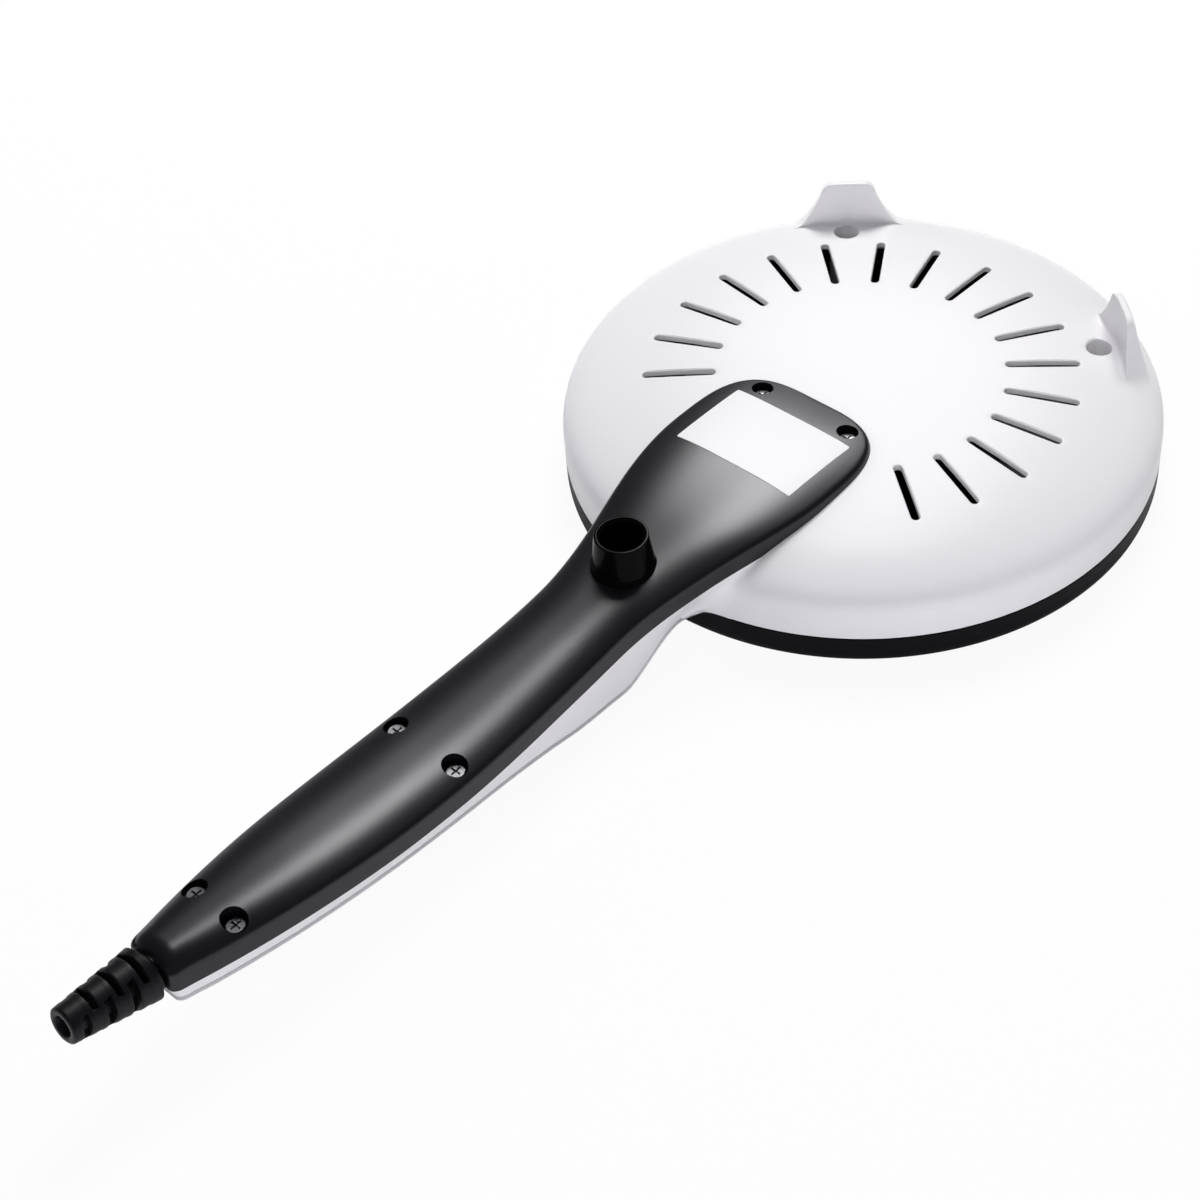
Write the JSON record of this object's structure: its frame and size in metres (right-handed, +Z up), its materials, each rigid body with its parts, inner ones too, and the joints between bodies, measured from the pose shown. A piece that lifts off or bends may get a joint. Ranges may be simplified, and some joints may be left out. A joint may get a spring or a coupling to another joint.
{
  "type": "hand-held electric crepe maker",
  "caption": "Hand-held electric crepe maker: a round dished cooking plate under a slotted white shell, with a long handle and three stand feet.",
  "frame": {"origin": "centre of the flat cooking face of the plate, on which the object lies", "axes": "+Z up out of the underside shown, away from the cooking face; the handle points along -X; +Y completes the right-handed frame"},
  "size_m": [0.461, 0.21, 0.0511],
  "materials": {
    "white_moulding": "glossy white moulded plastic",
    "black_cover": "glossy black moulded plastic with a fine grain",
    "black_foot": "glossy black moulded plastic",
    "blank_label": "blank white film",
    "zinc_screws": "bright zinc",
    "coated_plate": "black non-stick coating, satin",
    "gasket": "matt silicone",
    "heater_tube": "dull sheath",
    "seals": "matt",
    "heater_pins": "plain",
    "shield": "rolled sheet",
    "washers": "heat-resistant fibre",
    "thermostat_body": "phenolic",
    "sheet_clips": "plain",
    "fuse_case": "plain",
    "sleeve": "woven glass sleeve",
    "brass_parts": "plain",
    "ivory_block": "matt",
    "grey_clamp": "matt",
    "relief_rubber": "matt black",
    "switch_body": "satin black",
    "red_rocker": "glossy red",
    "red_lens": "clear red",
    "lamp_glass": "clear",
    "blue_lead": "silicone sleeve",
    "green_lead": "silicone sleeve",
    "brown_lead": "silicone sleeve",
    "red_leads": "silicone sleeve"
  },
  "bodies": {
    "machine": {"body_shell": "white_moulding", "handle_cover": "black_cover", "rear_foot": "black_foot", "rating_label": "blank_label", "cover_screws": "zinc_screws", "cooking_plate": "coated_plate", "rim_gasket": "gasket", "heating_element": "heater_tube", "element_seals": "seals", "element_pins": "heater_pins", "heat_shield": "shield", "post_washers": "washers", "plate_screws": "zinc_screws", "thermostat": "thermostat_body", "thermostat_bracket": "sheet_clips", "bracket_screws": "zinc_screws", "thermal_fuse": "fuse_case", "fuse_sleeve": "sleeve", "fuse_clip": "sheet_clips", "fuse_screw": "zinc_screws", "earth_tag": "brass_parts", "earth_screw": "brass_parts", "terminal_block": "ivory_block", "block_screw": "zinc_screws", "core_screws": "brass_parts", "cord_clamp": "grey_clamp", "clamp_screws": "zinc_screws", "strain_relief": "relief_rubber", "switch_housing": "switch_body", "switch_blades": "brass_parts", "indicator_lens": "red_lens", "pilot_lamp": "lamp_glass", "neutral_lead": "blue_lead", "earth_lead": "green_lead", "live_lead": "brown_lead", "switched_lead": "red_leads", "fuse_lead": "red_leads", "element_lead": "red_leads"},
    "rocker": {"switch_rocker": "red_rocker"}
  },
  "joints": [
    {"name": "power_switch", "type": "hinge", "parent": "machine", "child": "rocker", "pos_m": [-0.16586, 0, 0.00623], "axis": [0, 1, 0], "range_deg": [0, 16]}
  ]
}
